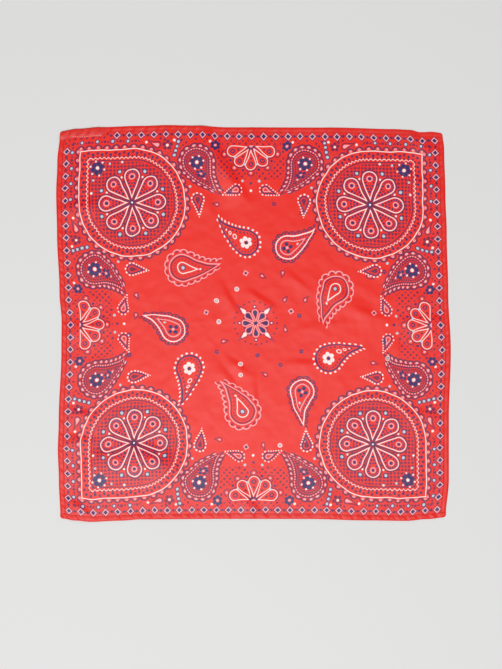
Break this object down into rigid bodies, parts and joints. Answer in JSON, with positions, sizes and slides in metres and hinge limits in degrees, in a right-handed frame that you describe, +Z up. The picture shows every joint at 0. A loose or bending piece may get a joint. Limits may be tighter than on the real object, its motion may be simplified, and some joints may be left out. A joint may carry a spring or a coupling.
{
  "type": "bandana",
  "caption": "Square satin bandana laid flat, with narrow stitched hems on its sides, one hem end turned up onto the face, and soft folds.",
  "frame": {"origin": "on the table under the middle of the cloth's bounding box", "axes": "+Z up off the table, out of the printed face; +Y towards the far edge (the top of the picture); +X to the right"},
  "size_m": [0.5558, 0.5588, 0.0029],
  "materials": {
    "printed_satin": "thin satin printed on its face",
    "hem_satin": "the same satin, turned under twice and stitched"
  },
  "bodies": {
    "root": {"panel": "printed_satin", "hem_far": "hem_satin", "hem_near": "hem_satin", "hem_left": "hem_satin", "hem_right": "hem_satin"}
  },
  "joints": []
}
